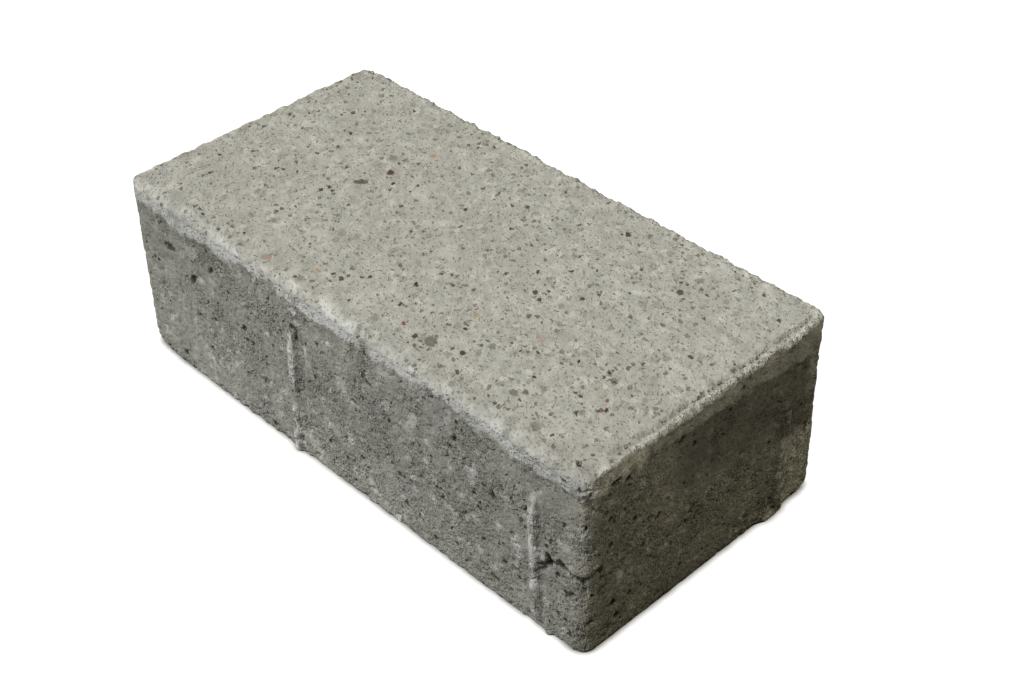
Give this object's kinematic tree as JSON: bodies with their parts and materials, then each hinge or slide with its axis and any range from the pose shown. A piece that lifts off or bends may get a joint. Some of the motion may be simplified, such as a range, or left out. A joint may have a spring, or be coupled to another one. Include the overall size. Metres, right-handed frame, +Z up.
{
  "type": "concrete paving stone",
  "caption": "Rectangular pressed-concrete paving stone with a worn arris, a fine pale wearing face, coarser sides and slim upright spacer ribs on its side faces.",
  "frame": {"origin": "centre of the bed face, the face that lies on the ground", "axes": "+X along the length, +Y along the width, +Z up from the bed face to the wearing face"},
  "size_m": [0.2014, 0.1014, 0.064],
  "materials": {
    "concrete": "dry pressed concrete, fine-pored pale wearing face and coarser grey sides"
  },
  "bodies": {
    "root": {"paving_stone": "concrete"}
  },
  "joints": []
}
